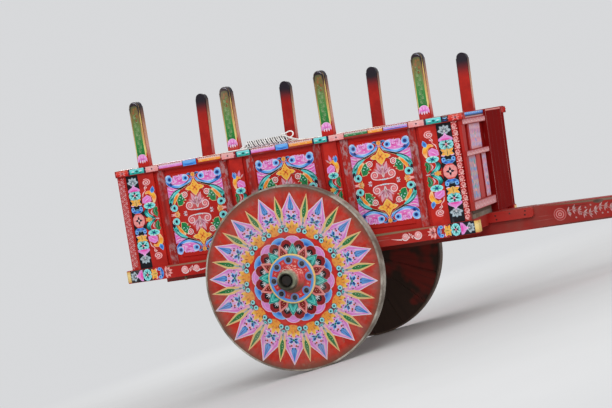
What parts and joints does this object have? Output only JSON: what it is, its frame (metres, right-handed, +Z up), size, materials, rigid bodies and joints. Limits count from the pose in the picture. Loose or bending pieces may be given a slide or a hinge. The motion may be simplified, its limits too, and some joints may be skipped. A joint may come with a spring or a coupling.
{
  "type": "bullock cart",
  "caption": "Painted wooden box cart on solid segmented timber wheels, with upright side stakes and one long draught pole for a pair of draught animals.",
  "frame": {"origin": "centre of the whole parked cart's box, on the floor", "axes": "+X to the front along the pole, +Y to the cart's left, +Z up"},
  "size_m": [4.5304, 1.51, 1.7996],
  "materials": {
    "painted_wood": "old gloss paint with ornament",
    "bare_wood": "weathered bare timber",
    "iron": "worn and slightly rusty",
    "steel": "greased",
    "rope": "laid rope"
  },
  "bodies": {
    "root": {"axle_bar": "iron", "axle_retainers": "iron", "axle_bed": "bare_wood", "axle_straps": "iron", "pole": "painted_wood", "yoke_peg": "bare_wood", "pole_cheeks": "painted_wood", "cross_beams": "bare_wood", "rail_pegs": "bare_wood", "floor_boards": "bare_wood", "front_rails": "painted_wood", "front_cap": "painted_wood", "front_sticks": "painted_wood", "front_inlays": "painted_wood", "front_back": "painted_wood", "front_plank": "painted_wood", "front_post": "painted_wood", "tail_stiles": "painted_wood", "tail_rails": "painted_wood", "tail_panels": "painted_wood", "rope_hank": "rope", "right_bottom_rail": "painted_wood", "left_bottom_rail": "painted_wood", "right_top_rail": "painted_wood", "left_top_rail": "painted_wood", "right_stakes": "painted_wood", "left_stakes": "painted_wood", "right_end_stiles": "painted_wood", "left_end_stiles": "painted_wood", "right_end_boards": "painted_wood", "left_end_boards": "painted_wood", "right_panels": "painted_wood", "left_panels": "painted_wood", "right_battens": "painted_wood", "left_battens": "painted_wood"},
    "right_wheel": {"right_wheel_segments": "painted_wood", "right_tyre": "iron", "right_hub": "painted_wood", "right_hub_bushing": "steel", "right_hub_plates": "painted_wood", "right_hub_bolts": "iron"},
    "left_wheel": {"left_wheel_segments": "painted_wood", "left_tyre": "iron", "left_hub": "painted_wood", "left_hub_bushing": "steel", "left_hub_plates": "painted_wood", "left_hub_bolts": "iron"}
  },
  "joints": [
    {"name": "right_wheel_spin", "type": "hinge", "parent": "root", "child": "right_wheel", "pos_m": [-1.20988, -0.6105, 0.525], "axis": [0, 1, 0], "continuous": true},
    {"name": "left_wheel_spin", "type": "hinge", "parent": "root", "child": "left_wheel", "pos_m": [-1.20988, 0.6105, 0.525], "axis": [0, 1, 0], "continuous": true}
  ]
}
